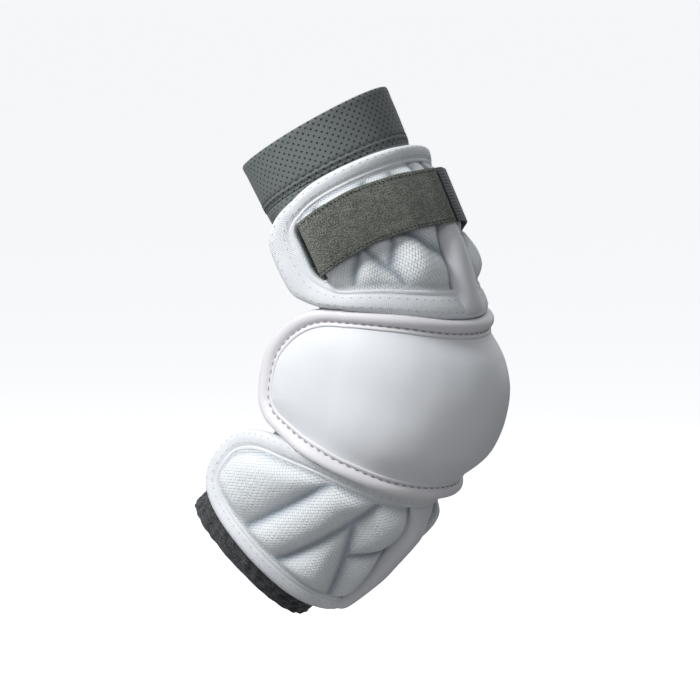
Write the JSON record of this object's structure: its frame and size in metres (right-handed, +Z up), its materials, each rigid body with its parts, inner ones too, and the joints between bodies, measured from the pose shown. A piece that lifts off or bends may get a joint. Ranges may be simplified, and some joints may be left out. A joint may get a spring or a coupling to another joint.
{
  "type": "lacrosse arm pad",
  "caption": "Bent lacrosse arm pad: mesh sleeve with collar and cuff, quilted upper arm and forearm panels, a domed elbow cap and a fastened wrap strap.",
  "frame": {"origin": "middle of the wearer's elbow, at mid arc of the sleeve's bent axis", "axes": "+Z up along the worn pad's height, +X toward the point of the elbow, the arm's bend lies in the XZ plane, -Y is the side of the strap's loop part"},
  "size_m": [0.2202, 0.1486, 0.3506],
  "materials": {
    "collar_mesh": "warp-knitted mesh with rows of tiny holes",
    "grip_elastic": "smooth elastic tape with grip lines",
    "sleeve_mesh": "fine stretch mesh, matte",
    "cuff_elastic": "dark gathered elastic with zigzag stitching",
    "white_weave": "coarse white basket weave over foam lobes",
    "white_knit": "white knitted binding over foam",
    "white_satin": "smooth satin synthetic leather",
    "cap_leather": "smooth matte synthetic leather over a domed shell",
    "cap_binding": "padded synthetic leather roll with a stitched groove",
    "loop_pile": "fuzzy grey-green loop pile",
    "ribbed_elastic": "ribbed grey elastic webbing",
    "tab_rubber": "bare matte rubber patch"
  },
  "bodies": {
    "root": {"collar_band": "collar_mesh", "grip_band": "grip_elastic", "arm_sleeve": "sleeve_mesh", "wrist_cuff": "cuff_elastic", "bicep_pad": "white_weave", "bicep_binding": "white_knit", "bicep_spine": "white_satin", "forearm_pad": "white_weave", "forearm_binding": "white_knit", "forearm_spine": "white_satin", "elbow_cap": "cap_leather", "elbow_binding": "cap_binding", "strap_loop": "loop_pile", "strap_elastic": "ribbed_elastic", "strap_tab": "tab_rubber"}
  },
  "joints": []
}
